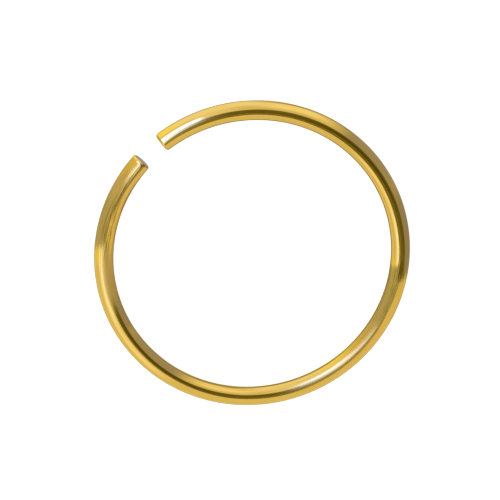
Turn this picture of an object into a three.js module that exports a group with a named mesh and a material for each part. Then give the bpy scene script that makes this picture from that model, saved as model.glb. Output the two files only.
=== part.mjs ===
// An open nose hoop: one length of round gold wire, cut square at both ends, the edge of
// each cut rounded off, and bent into a ring that stays open by a small gap.
//
// Millimetres, +Z up. The hoop lies on its side on the plane Z = 0, its centre is on the
// Z axis, and its gap faces +Y.

import * as THREE from "three";

// Driving dimensions
const WIRE_DIAMETER = 0.6;
const INSIDE_DIAMETER = 8.8;
const END_GAP = 0.8; // straight across, between the middles of the two end faces
const END_ROUNDING = 0.08; // radius round the edge of each end face

// Fineness of the facets
const SECTION_SIDES = 24;
const BEND_STEPS = 112;
const ROUNDING_STEPS = 4;

// Sizes that follow
const WIRE_RADIUS = WIRE_DIAMETER / 2;
const BEND_RADIUS = INSIDE_DIAMETER / 2 + WIRE_RADIUS; // to the middle of the wire
const GAP_ANGLE = 2 * Math.asin(END_GAP / 2 / BEND_RADIUS);
const WIRE_LENGTH = BEND_RADIUS * (2 * Math.PI - GAP_ANGLE);
const BACK_ANGLE = -Math.PI / 2; // the middle of the wire lies opposite the gap

const polishedGold = new THREE.MeshStandardMaterial({
  color: 0xe0b64a,
  metalness: 1,
  roughness: 0.14,
});

// The rounded edge of the upper end face, from the face out to the wire's side, as
// distances from the wire's axis and places along it.
function endRounding(side) {
  const neck = WIRE_RADIUS - END_ROUNDING;
  const edge = [];
  for (let i = 0; i < ROUNDING_STEPS; i++) {
    const turn = ((Math.PI / 2) * i) / ROUNDING_STEPS;
    const out = neck + END_ROUNDING * Math.sin(turn);
    const along = side + END_ROUNDING * Math.cos(turn);
    edge.push(new THREE.Vector2(out, along));
  }
  return edge;
}

// Half the outline of the straight wire, from the axis at one end to the axis at the
// other: the lower end, the side in even steps, and the upper end.
function wireProfile() {
  const half = WIRE_LENGTH / 2;
  const side = half - END_ROUNDING;
  const upperEnd = [new THREE.Vector2(0, half), ...endRounding(side)];
  const lowerEnd = upperEnd.map((point) => new THREE.Vector2(point.x, -point.y));
  const middle = [];
  for (let i = 0; i <= BEND_STEPS; i++) {
    middle.push(new THREE.Vector2(WIRE_RADIUS, side * ((2 * i) / BEND_STEPS - 1)));
  }
  return [...lowerEnd, ...middle, ...upperEnd.reverse()];
}

// The straight wire as a faceted rod along Y. Its facets touch the round wire from
// outside, and four of them face exactly up, down, in and out, so that the bent hoop
// keeps its real height and diameters and lies on a flat strip.
function straightWire() {
  const halfFacet = Math.PI / SECTION_SIDES;
  const rod = new THREE.LatheGeometry(wireProfile(), SECTION_SIDES, halfFacet);
  const acrossCorners = 1 / Math.cos(halfFacet);
  return rod.scale(acrossCorners, 1, acrossCorners);
}

// Bends the rod round the hoop's axis: its own X becomes the way out from that axis, its
// length runs round the ring, and its Z stays up.
function bendIntoHoop(rod) {
  const place = rod.getAttribute("position");
  for (let i = 0; i < place.count; i++) {
    const fromAxis = BEND_RADIUS + place.getX(i);
    const angle = BACK_ANGLE + place.getY(i) / BEND_RADIUS;
    const height = WIRE_RADIUS + place.getZ(i);
    place.setXYZ(i, fromAxis * Math.cos(angle), fromAxis * Math.sin(angle), height);
  }
  rod.computeVertexNormals();
  return rod;
}

const hoop = new THREE.Mesh(bendIntoHoop(straightWire()), polishedGold);
hoop.name = "hoop";

const noseRing = new THREE.Group();
noseRing.add(hoop);

export default noseRing;
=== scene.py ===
"""The looks of an open nose hoop: round gold wire, drawn, polished and cut square at both ends.

The hoop lies on its side on a pale floor, with its centre on the Z axis and its gap towards +Y.
Lengths are metres unless a name ends in _mm or a docstring says millimetres. Headings are
degrees round +Z, from +X towards +Y.
"""

import logging
import math
from dataclasses import dataclass
from enum import Enum

import bpy
import numpy as np
from mathutils import Matrix, Vector


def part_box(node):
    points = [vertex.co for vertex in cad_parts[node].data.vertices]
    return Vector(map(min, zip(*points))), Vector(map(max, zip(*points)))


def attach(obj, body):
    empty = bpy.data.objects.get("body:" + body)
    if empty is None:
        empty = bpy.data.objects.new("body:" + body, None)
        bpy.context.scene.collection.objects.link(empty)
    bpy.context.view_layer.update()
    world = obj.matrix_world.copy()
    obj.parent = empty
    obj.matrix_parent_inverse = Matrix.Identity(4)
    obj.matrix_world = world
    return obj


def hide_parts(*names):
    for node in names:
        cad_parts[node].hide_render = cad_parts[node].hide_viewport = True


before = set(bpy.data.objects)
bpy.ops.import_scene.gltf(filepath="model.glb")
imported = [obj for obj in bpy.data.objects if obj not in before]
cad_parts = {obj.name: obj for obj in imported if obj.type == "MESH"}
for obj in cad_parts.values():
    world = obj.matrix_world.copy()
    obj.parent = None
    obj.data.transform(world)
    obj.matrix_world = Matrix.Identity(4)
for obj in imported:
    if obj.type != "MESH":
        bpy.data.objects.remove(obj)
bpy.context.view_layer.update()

MM = 0.001
PHOTO_PIXELS = 500
WIRE_PLACE = "wire_place"
TENT_LIGHT = "tent_light"
WHITE = (1.0, 1.0, 1.0, 1.0)

# The middle half of a noise, which holds most of its values.
NOISE_LOW = 0.25
NOISE_HIGH = 0.75

# The least length that a direction is divided by.
TINY = 1e-6

# Leans, in degrees, past the most upright and the lowest surface that mirrors to the camera.
UPRIGHT = -20.0
LOWEST = 120.0

Colour = tuple[float, float, float]
Triple = tuple[float, float, float]

log = logging.getLogger("nose_hoop")


class Surface(Enum):
    """The two finished surfaces of the wire, by their place in the piece's list of materials."""

    POLISHED = 0
    CUT = 1


@dataclass(frozen=True)
class Grain:
    """Smooth noise on the straightened wire, stretched by its scale.

    Attributes:
        scale: cells for each millimetre, out from the hoop, up, and along the wire.
        detail: how many finer layers the noise has.
        roughness: how strong the finer layers are.
    """

    scale: Triple
    detail: float
    roughness: float


@dataclass(frozen=True)
class Stretch:
    """A stretch of the wire, in millimetres along it from its middle.

    Attributes:
        start: where the stretch starts.
        end: where it ends.
        blur: how softly it starts and ends.
    """

    start: float
    end: float
    blur: float


@dataclass(frozen=True)
class Side:
    """A side of the wire, by how far a point reaches in a direction from the wire's axis.

    Attributes:
        direction: out from the hoop, up, and along the wire.
        low: millimetres in that direction where the side starts.
        high: millimetres where it has its full strength.
    """

    direction: Triple
    low: float
    high: float


class NodeGraph:
    """A material's nodes, with short calls that add and join them."""

    def __init__(self, name: str) -> None:
        """Makes a material with an empty tree.

        Args:
            name: the material's name.
        """
        self.material = bpy.data.materials.new(name)
        self.material.use_nodes = True
        self.tree = self.material.node_tree
        self.tree.nodes.clear()

    def add(
        self, kind: str, inputs: dict[str, object] | None = None, **settings: object
    ) -> bpy.types.Node:
        """Adds a node.

        Args:
            kind: Blender's name for the sort of node.
            inputs: the value, or the output to join, for each named input socket.
            settings: the node's own settings.

        Returns:
            The new node.
        """
        node = self.tree.nodes.new(kind)
        for setting, value in settings.items():
            setattr(node, setting, value)
        for socket, value in (inputs or {}).items():
            if isinstance(value, bpy.types.NodeSocket):
                self.tree.links.new(value, node.inputs[socket])
            else:
                node.inputs[socket].default_value = value
        return node

    def wire_place(self) -> bpy.types.NodeSocket:
        """Reads a point's place on the straight wire: millimetres out, up and along."""
        return self.add("ShaderNodeAttribute", attribute_name=WIRE_PLACE).outputs["Vector"]

    def streaks(self, grain: Grain) -> bpy.types.NodeSocket:
        """Adds noise on the straightened wire.

        Args:
            grain: the noise.

        Returns:
            The noise's value, from 0 to 1.
        """
        stretched = self.add(
            "ShaderNodeMapping", {"Vector": self.wire_place(), "Scale": grain.scale}
        )
        noise = self.add(
            "ShaderNodeTexNoise",
            {
                "Vector": stretched.outputs["Vector"],
                "Scale": 1.0,
                "Detail": grain.detail,
                "Roughness": grain.roughness,
            },
        )
        return noise.outputs["Fac"]

    def ranged(
        self, value: bpy.types.NodeSocket, low: float, high: float
    ) -> bpy.types.NodeSocket:
        """Spreads a noise: its middle half goes evenly from the low value to the high one."""
        ends = {"From Min": NOISE_LOW, "From Max": NOISE_HIGH, "To Min": low, "To Max": high}
        return self.add("ShaderNodeMapRange", {"Value": value, **ends}).outputs["Result"]

    def step(
        self, value: bpy.types.NodeSocket, low: float, high: float
    ) -> bpy.types.NodeSocket:
        """Adds a smooth step, up from low to high, or down where low is the greater.

        Args:
            value: the value to test.
            low: where the step is 0.
            high: where the step is 1.

        Returns:
            A value from 0 to 1.
        """
        step = self.add(
            "ShaderNodeMapRange",
            {"Value": value, "From Min": low, "From Max": high},
            interpolation_type="SMOOTHSTEP",
        )
        return step.outputs["Result"]

    def along(self, stretch: Stretch) -> bpy.types.NodeSocket:
        """Marks a stretch of the wire.

        Args:
            stretch: the stretch.

        Returns:
            A value from 0 off the stretch to 1 on it.
        """
        parts = self.add("ShaderNodeSeparateXYZ", {"Vector": self.wire_place()})
        place, half = parts.outputs["Z"], stretch.blur / 2
        rise = self.step(place, stretch.start - half, stretch.start + half)
        fall = self.step(place, stretch.end + half, stretch.end - half)
        return self.product(rise, fall)

    def facing(self, side: Side) -> bpy.types.NodeSocket:
        """Marks a side of the wire.

        Args:
            side: the side.

        Returns:
            A value from 0 off the side to 1 on it.
        """
        dot = self.add("ShaderNodeVectorMath", operation="DOT_PRODUCT")
        self.tree.links.new(self.wire_place(), dot.inputs[0])
        dot.inputs[1].default_value = side.direction
        return self.step(dot.outputs["Value"], side.low, side.high)

    def product(
        self, first: bpy.types.NodeSocket, second: bpy.types.NodeSocket
    ) -> bpy.types.NodeSocket:
        """Multiplies two values.

        Args:
            first: one value.
            second: the other value.

        Returns:
            The first value times the second.
        """
        times = self.add("ShaderNodeMath", operation="MULTIPLY")
        self.tree.links.new(first, times.inputs[0])
        self.tree.links.new(second, times.inputs[1])
        return times.outputs[0]

    def blended(
        self, share: bpy.types.NodeSocket, first: bpy.types.NodeSocket, second: float
    ) -> bpy.types.NodeSocket:
        """Blends the first value, where the share is 0, into the second, where it is 1."""
        inputs = {"Value": share, "To Min": first, "To Max": second}
        return self.add("ShaderNodeMapRange", inputs).outputs["Result"]

    def mixed(
        self, share: bpy.types.NodeSocket, first: Colour | bpy.types.NodeSocket, second: Colour
    ) -> bpy.types.NodeSocket:
        """Mixes two colours.

        Args:
            share: how much of the second colour, from 0 to 1.
            first: the colour at 0, or the output that gives it.
            second: the colour at 1.

        Returns:
            The mixed colour.
        """
        mix = self.add("ShaderNodeMix", data_type="RGBA")
        self.tree.links.new(share, mix.inputs["Factor"])
        colours = [socket for socket in mix.inputs if socket.type == "RGBA"]
        if isinstance(first, bpy.types.NodeSocket):
            self.tree.links.new(first, colours[0])
        else:
            colours[0].default_value = (*first, 1)
        colours[1].default_value = (*second, 1)
        return next(socket for socket in mix.outputs if socket.type == "RGBA")

    def bump(
        self,
        height: bpy.types.NodeSocket,
        depth: float,
        normal: bpy.types.NodeSocket | None = None,
    ) -> bpy.types.NodeSocket:
        """Raises a surface's shading by a height.

        Args:
            height: the height, from 0 to 1.
            depth: the real height, in metres, that 1 stands for.
            normal: the shading to start from, or none for the mesh's own.

        Returns:
            The raised normal.
        """
        inputs = {"Height": height, "Distance": depth}
        if normal is not None:
            inputs["Normal"] = normal
        return self.add("ShaderNodeBump", inputs).outputs["Normal"]

    def close(self, shader: bpy.types.Node) -> bpy.types.Material:
        """Joins the last shader to the material's surface, and gives the material."""
        self.add("ShaderNodeOutputMaterial", {"Surface": shader.outputs[0]})
        return self.material


@dataclass(frozen=True)
class Rubbed:
    """A stretch where the polish on one side of the wire is rubbed dull.

    Attributes:
        stretch: where it is along the wire.
        roughness: the roughness there.
        side: the rubbed side, which is the upper inner one.
    """

    stretch: Stretch
    roughness: float
    side: Side = Side((-0.75, 0.66, 0.0), 0.12, 0.22)

    def mark(self, graph: NodeGraph) -> bpy.types.NodeSocket:
        """Marks the patch, from 0 off it to 1 on it: its stretch times its side."""
        return graph.product(graph.along(self.stretch), graph.facing(self.side))


@dataclass(frozen=True)
class PaintedDarkReflection:
    """A painted dark reflection: a darker streak laid into the metal's colour by the left end, aslant
    along the wire's top.

    Attributes:
        stretch: where it is along the wire.
        top: the side of the wire that it keeps to.
        across: the direction straight across the slanting seam.
        place: millimetres along that direction to the streak's middle.
        core: half the width of its full dark, in millimetres.
        edge: half its whole width, in millimetres.
        colour: the darker colour painted there, which stands for a dark band that the polish mirrors.
    """

    stretch: Stretch = Stretch(-15.0, -12.7, 1.2)
    top: Side = Side((0.0, 1.0, 0.0), 0.20, 0.27)
    across: Triple = (1.0, 0.0, -0.038)
    place: float = 0.458
    core: float = 0.02
    edge: float = 0.07
    # painted dark reflection: a darker gold that stands for a dark band mirrored in the polish
    colour: Colour = (0.48, 0.33, 0.07)

    def mark(self, graph: NodeGraph) -> bpy.types.NodeSocket:
        """Marks the painted dark streak: its stretch times the wire's top times a step at each of its
        edges.

        Args:
            graph: the nodes of the finish.

        Returns:
            A value from 0 off the painted streak to 1 on it.
        """
        mark = graph.product(graph.along(self.stretch), graph.facing(self.top))
        for way in (1, -1):
            across = tuple(way * part for part in self.across)
            middle = way * self.place
            inside = Side(across, middle - self.edge, middle - self.core)
            mark = graph.product(mark, graph.facing(inside))
        return mark


@dataclass(frozen=True)
class PolishedGold:
    """Yellow gold wire, polished over the fine lines that the drawing plate left along it.

    Attributes:
        colour: the metal's own colour.
        worn_colour: its colour in the brighter streaks.
        wear: the grain of the brighter streaks.
        shiniest: roughness in the cleanest streaks.
        dullest: roughness in the most worn streaks.
        lines: the grain of the drawn lines.
        line_depth: their depth.
        waves: the grain of the slow waves that hand polishing leaves.
        wave_depth: their depth.
        scuffs: the grain of the scuffs.
        scuff_depth: their depth.
        scuffed: the stretches where the wire was held and scuffed.
        painted_dark_reflection: the dark reflection painted into the colour by the left end.
        rubbed: the patches that are rubbed dull.
    """

    colour: Colour = (0.97, 0.635, 0.155)
    worn_colour: Colour = (1.0, 0.675, 0.18)
    wear: Grain = Grain((7.0, 7.0, 0.9), 2.0, 0.5)
    shiniest: float = 0.07
    dullest: float = 0.13
    lines: Grain = Grain((26.0, 26.0, 0.5), 3.0, 0.6)
    line_depth: float = 0.0006 * MM
    waves: Grain = Grain((2.4, 2.4, 0.55), 1.0, 0.4)
    wave_depth: float = 0.004 * MM
    scuffs: Grain = Grain((12.0, 12.0, 0.5), 2.0, 0.5)
    scuff_depth: float = 0.045 * MM
    scuffed: tuple[Stretch, ...] = (Stretch(-14.2, -11.0, 1.4), Stretch(1.7, 3.4, 0.8))
    painted_dark_reflection: PaintedDarkReflection = PaintedDarkReflection()
    rubbed: tuple[Rubbed, ...] = (
        Rubbed(Stretch(-11.2, -9.45, 1.1), 0.5),
        Rubbed(Stretch(-2.2, 1.8, 1.6), 0.25),
    )

    def material(self) -> bpy.types.Material:
        """Makes the finish.

        Returns:
            A metal whose colour, roughness and relief follow streaks along the wire.
        """
        graph = NodeGraph("polished_gold")
        lines = graph.streaks(self.lines)
        shader = graph.add(
            "ShaderNodeBsdfPrincipled",
            {
                "Base Color": self.tone(graph),
                "Metallic": 1.0,
                "Roughness": self.dullness(graph, lines),
                "Normal": graph.bump(lines, self.line_depth, self.relief(graph)),
            },
        )
        return graph.close(shader)

    def tone(self, graph: NodeGraph) -> bpy.types.NodeSocket:
        """Gives the metal's colour, brighter in the worn streaks, with a painted dark reflection by
        the left end.

        Args:
            graph: the nodes of the finish.

        Returns:
            The colour.
        """
        wear = graph.ranged(graph.streaks(self.wear), 0, 1)
        gold = graph.mixed(wear, self.colour, self.worn_colour)
        # lays on the painted dark reflection, a darker streak that stands for a mirrored dark band
        return graph.mixed(self.painted_dark_reflection.mark(graph), gold, self.painted_dark_reflection.colour)

    def dullness(self, graph: NodeGraph, lines: bpy.types.NodeSocket) -> bpy.types.NodeSocket:
        """Gives the roughness, which follows the drawn lines and rises in the rubbed patches.

        Args:
            graph: the nodes of the finish.
            lines: the drawn lines.

        Returns:
            The roughness.
        """
        roughness = graph.ranged(lines, self.shiniest, self.dullest)
        for patch in self.rubbed:
            roughness = graph.blended(patch.mark(graph), roughness, patch.roughness)
        return roughness

    def relief(self, graph: NodeGraph) -> bpy.types.NodeSocket:
        """Gives the slow waves, with the scuffs of each scuffed stretch over them.

        Args:
            graph: the nodes of the finish.

        Returns:
            The raised normal.
        """
        relief = graph.bump(graph.streaks(self.waves), self.wave_depth)
        scuffs = graph.streaks(self.scuffs)
        for stretch in self.scuffed:
            height = graph.product(scuffs, graph.along(stretch))
            relief = graph.bump(height, self.scuff_depth, relief)
        return relief


@dataclass(frozen=True)
class CutGold:
    """The cut face at each end of the wire: filed flat and duller than the side, with a pale grey
    painted into its colour as a painted reflection of the grey it faces.

    Attributes:
        colour: a pale grey where the file cut clean; the grey is painted reflection, not the gold's
            own colour.
        smeared_painted_grey: a darker grey where the metal was dragged; it is painted reflection like
            the clean colour, and the file strokes decide where each shows.
        shiniest: roughness of the clean strokes.
        dullest: roughness of the dragged strokes.
        strokes: the grain of the file's strokes.
        stroke_depth: their depth.
    """

    # painted reflection: both colours of the cut face are greys that stand for what it mirrors; only
    # their mix follows the file strokes
    colour: Colour = (0.82, 0.80, 0.76)
    smeared_painted_grey: Colour = (0.70, 0.67, 0.61)
    shiniest: float = 0.16
    dullest: float = 0.28
    strokes: Grain = Grain((48.0, 3.0, 1.0), 3.0, 0.6)
    stroke_depth: float = 0.0015 * MM

    def material(self) -> bpy.types.Material:
        """Makes the finish.

        Returns:
            A metal with parallel file strokes that run upwards over the face.
        """
        graph = NodeGraph("cut_gold")
        strokes = graph.streaks(self.strokes)
        tone = graph.ranged(strokes, 0, 1)
        shader = graph.add(
            "ShaderNodeBsdfPrincipled",
            {
                # the painted grey reflection, varied by the file strokes
                "Base Color": graph.mixed(tone, self.colour, self.smeared_painted_grey),
                "Metallic": 1.0,
                "Roughness": graph.ranged(strokes, self.shiniest, self.dullest),
                "Normal": graph.bump(strokes, self.stroke_depth),
            },
        )
        return graph.close(shader)


@dataclass
class Hoop:
    """The one piece of wire, bent into an open ring.

    Attributes:
        wire_radius: from the wire's axis to its surface.
        bend_radius: from the ring's axis to the wire's.
        end_gap: straight across, between the middles of the two end faces.
        end_rounding: radius round the edge of each end face.
        polish: the finish of the side.
        cut: the finish of the end faces.
        along: steps along the wire.
        around: steps round the wire.
        edge: steps over each rounded edge.
    """

    wire_radius: float
    bend_radius: float
    end_gap: float = 0.8 * MM
    end_rounding: float = 0.08 * MM
    polish: PolishedGold = PolishedGold()
    cut: CutGold = CutGold()
    along: int = 840
    around: int = 96
    edge: int = 8

    def outline(self) -> tuple[np.ndarray, np.ndarray]:
        """Half the outline of the straight wire, between the axis at its two ends.

        The upper edge is a quarter circle: out from the neck by the sine of its turn, and
        along from the side by the cosine. The lower end is the upper one mirrored.

        Returns:
            Distances from the wire's axis, and places along it counted from its middle.
        """
        gap_angle = 2 * math.asin(self.end_gap / 2 / self.bend_radius)
        half = self.bend_radius * (math.pi - gap_angle / 2)
        side = half - self.end_rounding
        neck = self.wire_radius - self.end_rounding
        turn = np.linspace(0, math.pi / 2, self.edge, endpoint=False)
        edge_out = np.concatenate([[0, neck / 2], neck + self.end_rounding * np.sin(turn)])
        edge_along = np.concatenate([[half, half], side + self.end_rounding * np.cos(turn)])
        middle = np.linspace(-side, side, self.along + 1)
        out = np.concatenate([edge_out, np.full(middle.size, self.wire_radius), edge_out[::-1]])
        along = np.concatenate([-edge_along, middle, edge_along[::-1]])
        return out, along

    def straight_wire(self) -> np.ndarray:
        """The straight wire's points.

        Each ring of points is a circle: its distance from the axis, times the cosine of
        the way round for out, and times the sine for up. The two poles come last.

        Returns:
            One row a point: out from the hoop's axis, up, and along the wire.
        """
        out, along = self.outline()
        turn = np.linspace(0, 2 * math.pi, self.around, endpoint=False)
        ring_out = out[1:-1, None] * np.cos(turn)
        ring_up = out[1:-1, None] * np.sin(turn)
        ring_along = np.broadcast_to(along[1:-1, None], ring_out.shape)
        rings = np.stack([ring_out, ring_up, ring_along], axis=-1).reshape(-1, 3)
        poles = np.array([[0, 0, along[0]], [0, 0, along[-1]]])
        return np.concatenate([rings, poles])

    def bent(self, points: np.ndarray) -> np.ndarray:
        """Bends the straight wire round the ring's axis.

        The distance from the ring's axis is the bend radius plus the way out. The heading
        is a quarter turn back plus the way along divided by the bend radius. The height
        is the wire's radius plus the way up.

        Args:
            points: the straight wire's points.

        Returns:
            The same points round the ring.
        """
        reach = self.bend_radius + points[:, 0]
        heading = points[:, 2] / self.bend_radius - math.pi / 2
        height = self.wire_radius + points[:, 1]
        return np.stack([reach * np.cos(heading), reach * np.sin(heading), height], axis=-1)

    def faces(self) -> tuple[np.ndarray, np.ndarray]:
        """The wire's faces, all turned outwards.

        Returns:
            Four-sided faces between neighbouring rings, and three-sided faces at the poles.
        """
        rings = self.outline()[0].size - 2
        row = np.arange(self.around)
        after = (row + 1) % self.around
        start = (np.arange(rings - 1) * self.around)[:, None]
        beyond = start + self.around
        quads = np.stack([start + row, beyond + row, beyond + after, start + after], axis=-1)
        low_pole, last = rings * self.around, (rings - 1) * self.around
        low = np.stack([np.full(self.around, low_pole), row, after], axis=-1)
        high = np.stack([np.full(self.around, low_pole + 1), last + after, last + row], axis=-1)
        return quads.reshape(-1, 4), np.concatenate([low, high])

    def build(self) -> bpy.types.Object:
        """Makes the wire's mesh.

        Returns:
            The piece, placed by its mesh, with each point's place on the straight wire.
        """
        straight = self.straight_wire()
        quads, triangles = self.faces()
        mesh = bpy.data.meshes.new("gold_hoop")
        mesh.from_pydata(self.bent(straight), [], quads.tolist() + triangles.tolist())
        place = mesh.attributes.new(WIRE_PLACE, "FLOAT_VECTOR", "POINT")
        place.data.foreach_set("vector", (straight / MM).astype(np.float32).ravel())
        self.dress(mesh, quads, triangles)
        mesh.update()
        piece = bpy.data.objects.new("gold_hoop", mesh)
        bpy.context.scene.collection.objects.link(piece)
        return piece

    def dress(self, mesh: bpy.types.Mesh, quads: np.ndarray, triangles: np.ndarray) -> None:
        """Gives the side and the end faces their finishes.

        Args:
            mesh: the wire's mesh.
            quads: its four-sided faces, in rings from one end to the other.
            triangles: its three-sided faces, all on the end faces.
        """
        mesh.materials.append(self.polish.material())
        mesh.materials.append(self.cut.material())
        finish = np.full(len(quads) + len(triangles), Surface.POLISHED.value, np.int32)
        finish[: self.around] = Surface.CUT.value
        finish[len(quads) - self.around :] = Surface.CUT.value
        mesh.polygons.foreach_set("material_index", finish)
        mesh.polygons.foreach_set("use_smooth", np.ones(finish.size, bool))


@dataclass(frozen=True)
class Lookout:
    """The camera: above the hoop, off the ring's axis, at the photograph's angle.

    Attributes:
        tilt_deg: between the line of sight and the ring's axis.
        heading_deg: the way that the camera leans from the ring's axis.
        top_heading_deg: the heading on the floor that points to the top of the picture.
        distance_mm: from the camera to the middle of the ring.
        ring_pixels: the photographed ring's bend radius, in pixels.
        centre_pixel: where the middle of the ring shows, from the picture's upper left corner.
        sensor_mm: width of the camera's sensor.
        nearest: how near to the camera a thing still shows.
        farthest: how far from the camera it still shows.
    """

    tilt_deg: float = 18.3
    heading_deg: float = 68.2
    top_heading_deg: float = 48.0
    distance_mm: float = 42.9
    ring_pixels: float = 149.24
    centre_pixel: tuple[float, float] = (253.88, 257.6)
    sensor_mm: float = 36.0
    nearest: float = 1 * MM
    farthest: float = 2.0

    def towards(self) -> Vector:
        """Works out the way to the camera.

        Returns:
            The direction from the hoop to the camera, one long.
        """
        tilt, heading = math.radians(self.tilt_deg), math.radians(self.heading_deg)
        lean = math.sin(tilt)
        return Vector((lean * math.cos(heading), lean * math.sin(heading), math.cos(tilt)))

    def build(self, centre: Vector, bend_radius: float) -> bpy.types.Object:
        """Makes the scene's camera.

        Args:
            centre: the middle of the ring.
            bend_radius: from the ring's axis to the wire's.

        Returns:
            The camera.
        """
        back = self.towards()
        heading = math.radians(self.top_heading_deg)
        top = Vector((math.cos(heading), math.sin(heading), 0))
        up = (top - top.dot(back) * back).normalized()
        right = up.cross(back)
        data = bpy.data.cameras.new("camera")
        data.sensor_width = self.sensor_mm
        ring_share = self.ring_pixels / PHOTO_PIXELS
        data.lens = self.sensor_mm * ring_share * self.distance_mm * MM / bend_radius
        data.shift_x = 0.5 - self.centre_pixel[0] / PHOTO_PIXELS
        data.shift_y = self.centre_pixel[1] / PHOTO_PIXELS - 0.5
        data.clip_start = self.nearest
        data.clip_end = self.farthest
        camera = bpy.data.objects.new("camera", data)
        turn = Matrix((right, up, back)).transposed().to_4x4()
        camera.matrix_world = Matrix.Translation(centre + back * self.distance_mm * MM) @ turn
        bpy.context.scene.collection.objects.link(camera)
        bpy.context.scene.camera = camera
        return camera


def smooth_step(value: np.ndarray, edge: float, blur: float) -> np.ndarray:
    """A soft step: 3 t squared minus 2 t cubed, where t goes from 0 to 1 across the blur.

    Args:
        value: the values to test.
        edge: where the step is half way up.
        blur: how wide the step is.

    Returns:
        Values from 0 below the edge to 1 above it.
    """
    t = np.clip((value - edge) / blur + 0.5, 0, 1)
    return t * t * (3 - 2 * t)


def laid_over(glow: np.ndarray, light: Colour, share: np.ndarray) -> np.ndarray:
    """Lays a light over a glow: the glow times what the share leaves, plus the light times it.

    Args:
        glow: the colours so far.
        light: the colour laid over them.
        share: how much of each place it covers, from 0 to 1.

    Returns:
        The new colours.
    """
    cover = share[..., None]
    return glow * (1 - cover) + np.array(light) * cover


@dataclass(frozen=True)
class Span:
    """A range of angles with soft ends, in degrees.

    Attributes:
        start: where the range starts.
        end: where it ends. A heading counts on past 360 if its range crosses 0.
        soft_start: how wide the step up is at the start.
        soft_end: how wide the step down is at the end.
    """

    start: float
    end: float
    soft_start: float = 3.0
    soft_end: float = 3.0

    def share(self, angle: np.ndarray) -> np.ndarray:
        """The share of each angle in the range: the step at the start times 1 less that at the end."""
        rise = smooth_step(angle, self.start, self.soft_start)
        return rise * (1 - smooth_step(angle, self.end, self.soft_end))


@dataclass(frozen=True)
class Panel:
    """One light or dark part of the tent, placed by the surface that mirrors it to the camera.

    Attributes:
        light: what the panel gives off.
        heading: the headings of the mirroring surface, or none for all the way round.
        lean: the mirroring surface's leans, from 0 for one that faces straight up.
    """

    light: Colour
    heading: Span | None = None
    lean: Span = Span(UPRIGHT, LOWEST)

    def share(self, heading: np.ndarray, lean: np.ndarray) -> np.ndarray:
        """How much of each place the panel covers.

        The share is that in the panel's leans times that in its headings. A heading is
        first counted on or back by whole turns, to within half a turn of the panel's middle.

        Args:
            heading: headings of the mirroring surface, in degrees.
            lean: its leans, in degrees.

        Returns:
            Shares from 0 to 1.
        """
        cover = self.lean.share(lean)
        if self.heading is None:
            return cover
        middle = (self.heading.start + self.heading.end) / 2
        near = middle + (heading - middle + 180) % 360 - 180
        return cover * self.heading.share(near)


@dataclass(frozen=True)
class Sag:
    """A part of the tent that hangs nearer to the hoop.

    Attributes:
        heading: the way to its middle.
        tilt: from straight up to its middle, in degrees.
        width: how far it spreads, in degrees.
        radius: from the middle of the ring to its middle.
    """

    heading: float
    tilt: float
    width: float
    radius: float

    def bell(self, ways: np.ndarray) -> np.ndarray:
        """How much of the sag each direction has.

        It is a bell curve: e to the power of minus the square of the angle from the sag's
        middle over its width.

        Args:
            ways: unit vectors from the hoop.

        Returns:
            Shares from 0 to 1.
        """
        heading, tilt = math.radians(self.heading), math.radians(self.tilt)
        lean = math.sin(tilt)
        middle = np.array([lean * math.cos(heading), lean * math.sin(heading), math.cos(tilt)])
        off = np.degrees(np.arccos(np.clip(ways @ middle, -1, 1)))
        return np.exp(-((off / self.width) ** 2))


@dataclass(frozen=True)
class TentCloth:
    """The tent's cloth, which glows with the light kept at the tent's points.

    Attributes:
        light: the name that the light is kept under.
    """

    light: str = TENT_LIGHT

    def material(self) -> bpy.types.Material:
        """Makes the finish.

        Returns:
            A glow in the kept colours.
        """
        graph = NodeGraph("tent_light")
        light = graph.add("ShaderNodeAttribute", attribute_name=self.light)
        return graph.close(graph.add("ShaderNodeEmission", {"Color": light.outputs["Color"]}))


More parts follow.
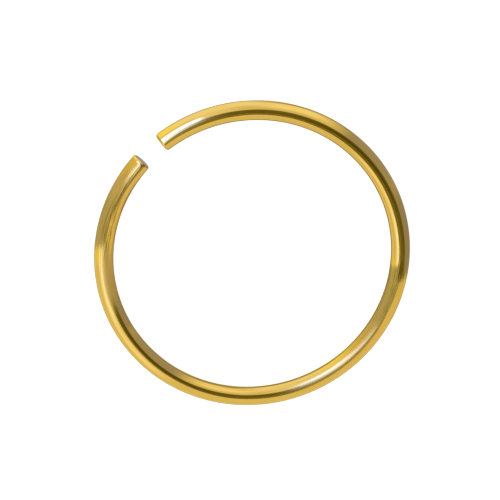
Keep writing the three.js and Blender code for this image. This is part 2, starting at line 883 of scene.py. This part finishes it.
@dataclass
class Tent:
    """A small light tent that only the polished metal sees.

    It hangs round the hoop at about the camera's distance. Its walls give a warm even
    light, with a softbox, a few brighter and duller panels, and the dark of the lens. Each
    panel is laid over the ones before it.

    Attributes:
        centre: the middle of the ring.
        sight: the direction from there to the camera.
        radius: from the middle of the ring to the tent's wall.
        sags: the parts of the wall that hang nearer.
        wall: the light of the plain wall.
        patches: the duller and brighter parts of the wall.
        left_card: the dull card on the left, with a darker foot and a bright strip beside it.
        crest: the dark overhead, which shows along the top of the wire.
        right_card: the dull card on the right.
        lamps: the softbox above the gap, with a paler strip and a dark slit at its side.
        lens: the camera's own dark lens and hood.
        rim_light: what the metal mirrors at its very edge, where wire and floor are close.
        rim_start: how far a surface is turned from the camera where the rim starts.
        rim_blur: how softly the rim starts.
        low_card: the grey card, low on the right, that the left end's cut face mirrors.
        cloth: what the tent is made of.
        bearings: the tent's points round the way up.
        distances: its points from the top to the bottom.
    """

    centre: Vector
    sight: Vector
    radius: float = 40 * MM
    sags: tuple[Sag, ...] = (Sag(222, 27, 24, 15 * MM), Sag(128, 16, 9, 20 * MM))
    wall: Colour = (0.71, 0.695, 0.50)
    patches: tuple[Panel, ...] = (
        Panel((0.71, 0.65, 0.46), Span(274, 318, 14), Span(10, LOWEST)),
        Panel((0.66, 0.63, 0.41), Span(299, 318, 12), Span(6, LOWEST)),
        Panel((0.67, 0.68, 0.56), Span(20, 104, 14), Span(24, LOWEST, 9)),
        Panel((0.94, 0.95, 0.91), Span(23, 46, 13, 14), Span(35, LOWEST, 12)),
        Panel((0.77, 0.80, 0.78), Span(55, 70, 10), Span(22, LOWEST, 8)),
        Panel((0.90, 0.93, 0.93), Span(44, 80, 14, 6), Span(45, LOWEST, 12)),
        Panel((0.97, 0.98, 0.46), Span(77, 91, 6), Span(43, LOWEST, 8)),
        Panel((0.66, 0.63, 0.26), Span(90, 104, 4, 6), Span(24, LOWEST)),
        Panel((0.27, 0.25, 0.10), Span(9, 46, 10, 16), Span(69, LOWEST, 24)),
        Panel((0.28, 0.26, 0.07), Span(46, 88, 16, 6), Span(81, LOWEST, 14)),
    )
    left_card: tuple[Panel, ...] = (
        Panel((0.50, 0.51, 0.46), Span(103, 131.5, 4, 2)),
        Panel((0.53, 0.49, 0.40), Span(98, 108, 5, 5), Span(21, 60)),
        Panel((0.43, 0.45, 0.39), Span(111, 131.5, 6, 2)),
        Panel((0.28, 0.29, 0.20), Span(113, 130.5, 6, 3), Span(3, 27, 3, 6)),
        Panel((0.47, 0.50, 0.45), Span(112.5, 120, 5), Span(29, 43, 3, 8)),
        Panel((0.84, 0.78, 0.26), Span(131, 137, 2, 4), Span(31, 62)),
        Panel((0.92, 0.93, 0.95), Span(131.5, 186, 2, 14), Span(13.5, 33, 6, 10)),
        Panel((1.0, 1.18, 1.8), Span(131.5, 156, 2, 14), Span(13.5, 28, 5, 9)),
        Panel((0.30, 0.29, 0.15), Span(97, 130, 6, 6), Span(80, LOWEST, 16)),
    )
    crest: tuple[Panel, ...] = (
        Panel((0.46, 0.45, 0.24), None, Span(UPRIGHT, 6, soft_end=6)),
        Panel((0.10, 0.09, 0.01), Span(132, 185, 6, 20), Span(UPRIGHT, 8, soft_end=4)),
        Panel((0.09, 0.08, 0.01), Span(185, 222, 20, 14), Span(UPRIGHT, 7.5, soft_end=4)),
        Panel((0.16, 0.145, 0.02), Span(222, 263, 14, 28), Span(UPRIGHT, 7.5, soft_end=4)),
    )
    right_card: tuple[Panel, ...] = (
        Panel((0.29, 0.30, 0.385), Span(314, 348, 8, 16), Span(6, LOWEST)),
        Panel((0.335, 0.345, 0.435), Span(345, 376, 16, 12), Span(6, LOWEST)),
    )
    lamps: tuple[Panel, ...] = (
        Panel((0.58, 0.59, 0.38), Span(84, 113, 5, 8), Span(UPRIGHT, 10)),
        Panel((1.15, 1.38, 2.4), Span(84, 101.3, 6, 2), Span(5, 24, 6, 6)),
        Panel((0.36, 0.36, 0.20), Span(101.5, 104.5, 1.5, 2), Span(4, 22, 4, 4)),
        Panel((1.4, 1.95, 6.5), Span(68, 90, 2.5, 5), Span(11, 35.5, 5, 8)),
    )
    lens: tuple[Panel, ...] = (
        Panel((0.13, 0.12, 0.03), Span(314, 436, 10, 40), Span(UPRIGHT, 21.5, soft_end=6)),
        Panel((0.22, 0.21, 0.06), Span(62, 87, 8, 5), Span(UPRIGHT, 9, soft_end=5)),
        Panel((0.08, 0.075, 0.005), Span(340, 385, 20, 30), Span(4, 16, 6, 6)),
    )
    rim_light: Colour = (0.22, 0.20, 0.09)
    rim_start: float = 72.0
    rim_blur: float = 12.0
    low_card: Panel = Panel((0.42, 0.43, 0.47), Span(6, 46, 8, 8), Span(86, LOWEST, 5))
    cloth: TentCloth = TentCloth()
    bearings: int = 720
    distances: int = 360

    def ways_out(self) -> np.ndarray:
        """Directions from the hoop to the tent's points.

        They are a grid of bearings round straight up and distances from it: the distance's
        sine times the bearing's cosine and sine, and the distance's cosine.

        Returns:
            Unit vectors, one row a distance and one column a bearing.
        """
        bearing = np.linspace(0, 2 * math.pi, self.bearings, endpoint=False)[None, :]
        distance = np.linspace(0, math.pi, self.distances)[:, None]
        east = np.sin(distance) * np.cos(bearing)
        north = np.sin(distance) * np.sin(bearing)
        return np.stack([east, north, np.broadcast_to(np.cos(distance), east.shape)], axis=-1)

    def reach(self, ways: np.ndarray) -> np.ndarray:
        """How far the tent's wall is in each direction: the radius, less the depth of the sags.

        Args:
            ways: unit vectors from the hoop.

        Returns:
            Distances from the middle of the ring.
        """
        reach = np.full(ways.shape[:-1], self.radius)
        for sag in self.sags:
            reach -= (self.radius - sag.radius) * sag.bell(ways)
        return reach

    def panels(self) -> tuple[Panel, ...]:
        """The panels that lie on the plain wall, in the order in which they are laid."""
        return self.patches + self.left_card + self.crest + self.right_card + self.lamps + self.lens

    def light(self, ways: np.ndarray) -> np.ndarray:
        """What the tent gives off in each direction.

        The surface that mirrors a direction to the camera faces half way between the two.
        Its heading and lean say which panels cover that direction. The rim goes by the
        angle between that surface and the line of sight.

        Args:
            ways: unit vectors from the hoop.

        Returns:
            Colours, one for each vector.
        """
        sight = np.array(self.sight)
        half_way = ways + sight
        length = np.maximum(np.linalg.norm(half_way, axis=-1, keepdims=True), TINY)
        facing = half_way / length
        heading = np.degrees(np.arctan2(facing[..., 1], facing[..., 0]))
        lean = np.degrees(np.arccos(np.clip(facing[..., 2], -1, 1)))
        turned_away = np.degrees(np.arccos(np.clip(facing @ sight, -1, 1)))
        glow = np.broadcast_to(np.array(self.wall), ways.shape)
        for panel in self.panels():
            glow = laid_over(glow, panel.light, panel.share(heading, lean))
        rim = smooth_step(turned_away, self.rim_start, self.rim_blur)
        glow = laid_over(glow, self.rim_light, rim)
        return laid_over(glow, self.low_card.light, self.low_card.share(heading, lean))

    def faces(self) -> np.ndarray:
        """The tent's faces, between neighbouring bearings and distances.

        Returns:
            Four corners a row.
        """
        row = np.arange(self.bearings)
        after = (row + 1) % self.bearings
        start = (np.arange(self.distances - 1) * self.bearings)[:, None]
        below = start + self.bearings
        corners = [start + row, start + after, below + after, below + row]
        return np.stack(corners, axis=-1).reshape(-1, 4)

    def build(self) -> bpy.types.Object:
        """Makes the tent, out of sight of the camera, the floor and the shadows.

        Returns:
            The tent, a ball of points with their light in an attribute.
        """
        ways = self.ways_out()
        glow = self.light(ways)
        points = np.array(self.centre) + self.reach(ways)[..., None] * ways
        mesh = bpy.data.meshes.new("light_tent")
        mesh.from_pydata(points.reshape(-1, 3), [], self.faces().tolist())
        colours = mesh.attributes.new(self.cloth.light, "FLOAT_COLOR", "POINT")
        opaque = np.concatenate([glow, np.ones((*glow.shape[:-1], 1))], axis=-1)
        colours.data.foreach_set("color", opaque.astype(np.float32).ravel())
        mesh.materials.append(self.cloth.material())
        tent = bpy.data.objects.new("light_tent", mesh)
        tent.visible_camera = False
        tent.visible_diffuse = False
        tent.visible_shadow = False
        tent.visible_transmission = False
        bpy.context.scene.collection.objects.link(tent)
        return tent


@dataclass(frozen=True)
class PaleFloor:
    """The floor's finish: plain matt white, lit a little from behind, as a light table is.

    Attributes:
        colour: the floor's own colour.
        glow: how strongly it is lit from behind.
    """

    colour: Colour = (0.82, 0.82, 0.82)
    glow: float = 0.73

    def material(self) -> bpy.types.Material:
        """Makes the finish.

        Returns:
            A surface with no gloss that gives off a little light of its own.
        """
        graph = NodeGraph("pale_floor")
        shader = graph.add(
            "ShaderNodeBsdfPrincipled",
            {
                "Base Color": (*self.colour, 1),
                "Roughness": 1.0,
                "Specular IOR Level": 0.0,
                "Emission Color": WHITE,
                "Emission Strength": self.glow,
            },
        )
        return graph.close(shader)


@dataclass
class Studio:
    """The pale floor and the soft light on it.

    Attributes:
        floor_half: half the floor's side.
        floor_finish: what the floor is made of.
        sky_strength: strength of the even white light from all round.
        lamp_power: power of the soft lamp overhead, in watts.
        lamp_size: side of that lamp.
        lamp_place: where the lamp hangs.
    """

    floor_half: float = 0.6
    floor_finish: PaleFloor = PaleFloor()
    sky_strength: float = 0.55
    lamp_power: float = 0.012
    lamp_size: float = 0.1
    lamp_place: Triple = (-0.03, 0.05, 0.12)

    def floor(self) -> bpy.types.Object:
        """Makes the floor, a level square that the polished metal doesn't mirror.

        Returns:
            The floor.
        """
        half = self.floor_half
        corners = [(-half, -half, 0), (half, -half, 0), (half, half, 0), (-half, half, 0)]
        mesh = bpy.data.meshes.new("floor")
        mesh.from_pydata(corners, [], [(0, 1, 2, 3)])
        mesh.materials.append(self.floor_finish.material())
        floor = bpy.data.objects.new("floor", mesh)
        floor.visible_glossy = False
        bpy.context.scene.collection.objects.link(floor)
        return floor

    def sky(self) -> bpy.types.World:
        """Sets the even white light from all round.

        Returns:
            The scene's world.
        """
        world = bpy.data.worlds.new("studio")
        world.use_nodes = True
        background = world.node_tree.nodes["Background"]
        background.inputs["Color"].default_value = WHITE
        background.inputs["Strength"].default_value = self.sky_strength
        bpy.context.scene.world = world
        return world

    def lamp(self) -> bpy.types.Object:
        """Makes the soft lamp, which lights the floor and isn't mirrored in the metal.

        Returns:
            The lamp.
        """
        data = bpy.data.lights.new("soft_lamp", "AREA")
        data.energy = self.lamp_power
        data.size = self.lamp_size
        lamp = bpy.data.objects.new("soft_lamp", data)
        lamp.location = self.lamp_place
        lamp.rotation_mode = "QUATERNION"
        lamp.rotation_quaternion = Vector(self.lamp_place).to_track_quat("Z", "Y")
        lamp.visible_glossy = False
        bpy.context.scene.collection.objects.link(lamp)
        return lamp

    def build(self) -> list[bpy.types.ID]:
        """Makes the floor, the light from all round and the lamp, and gives the three."""
        return [self.floor(), self.sky(), self.lamp()]


def main() -> None:
    """Builds the camera, the hoop, the tent and the studio in order, and reports each."""
    logging.basicConfig(level=logging.INFO, format="%(name)s: %(message)s")
    low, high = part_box("hoop")
    wire_radius = (high.z - low.z) / 2
    bend_radius = (high.x - low.x) / 2 - wire_radius
    centre = Vector((0, 0, wire_radius))

    lookout = Lookout()
    camera = lookout.build(centre, bend_radius)
    log.info("%s with a lens of %.1f mm", camera.name, camera.data.lens)

    piece = Hoop(wire_radius, bend_radius).build()
    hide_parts("hoop")
    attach(piece, "root")
    log.info("%s with %d faces", piece.name, len(piece.data.polygons))

    tent = Tent(centre, lookout.towards()).build()
    log.info("%s with %d points", tent.name, len(tent.data.vertices))
    for part in Studio().build():
        log.info("stage: %s", part.name)

    bpy.context.scene.view_settings.view_transform = "Standard"


if __name__ == "__main__":
    main()
